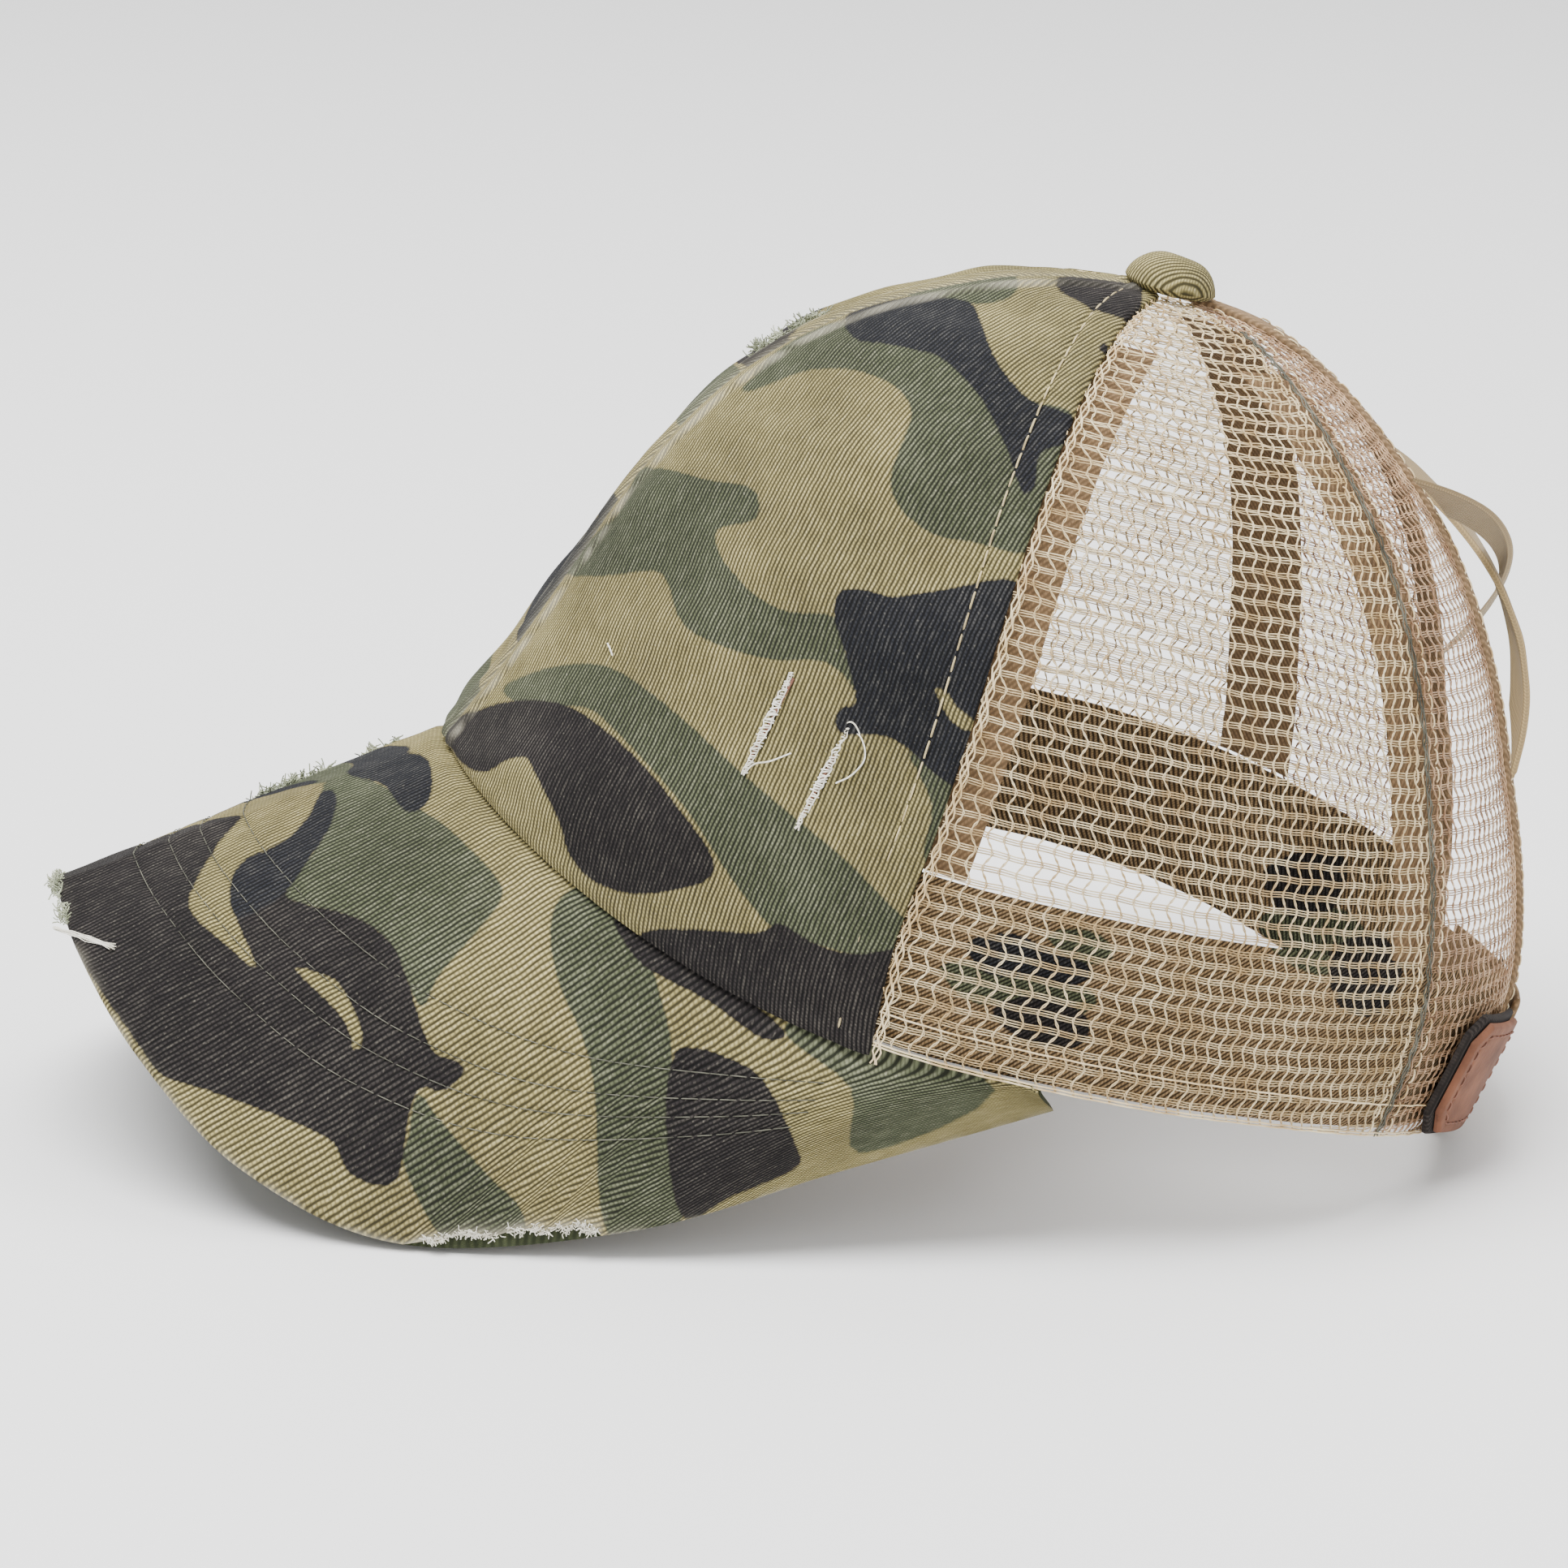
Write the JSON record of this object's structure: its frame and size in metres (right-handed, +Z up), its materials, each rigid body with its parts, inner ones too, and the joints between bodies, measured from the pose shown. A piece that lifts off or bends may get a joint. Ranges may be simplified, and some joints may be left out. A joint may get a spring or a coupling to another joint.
{
  "type": "ponytail baseball cap",
  "caption": "Camouflage twill and tan net baseball cap with a slit at the back for a ponytail, crossed elastic bands, a curved frayed brim and a blank leather patch.",
  "frame": {"origin": "centre of the bounding box, on the surface the cap rests on", "axes": "+Z up, the brim points to -Y, the wearer's left is +X"},
  "size_m": [0.1606, 0.2686, 0.1585],
  "materials": {
    "camo_twill": "washed cotton twill with a printed camouflage of khaki, olive and brown-black",
    "olive_cloth": "matte dark olive twill",
    "tan_net": "open polyester net of slightly glossy tan yarn",
    "tan_cloth": "matte tan cotton tape",
    "tan_elastic": "knitted tan elastic",
    "black_hook": "matte black hook and loop tape",
    "brown_leather": "smooth brown leather with a stitched edge, no marking"
  },
  "bodies": {
    "root": {"front_panel_left": "camo_twill", "front_panel_right": "camo_twill", "side_mesh_left": "tan_net", "side_mesh_right": "tan_net", "rear_mesh_left": "tan_net", "rear_mesh_right": "tan_net", "sweatband": "tan_cloth", "front_seam_tape": "tan_cloth", "side_seam_tape_left": "tan_cloth", "side_seam_tape_right": "tan_cloth", "rear_seam_tape_left": "tan_cloth", "rear_seam_tape_right": "tan_cloth", "slit_binding_left": "tan_cloth", "slit_binding_right": "tan_cloth", "cross_band_outer": "tan_elastic", "cross_band_inner": "tan_elastic", "closure_strap_inner": "tan_cloth", "closure_strap_outer": "tan_cloth", "hook_tape": "black_hook", "leather_patch": "brown_leather", "brim_top": "camo_twill", "brim_underside": "olive_cloth", "button": "camo_twill"}
  },
  "joints": []
}
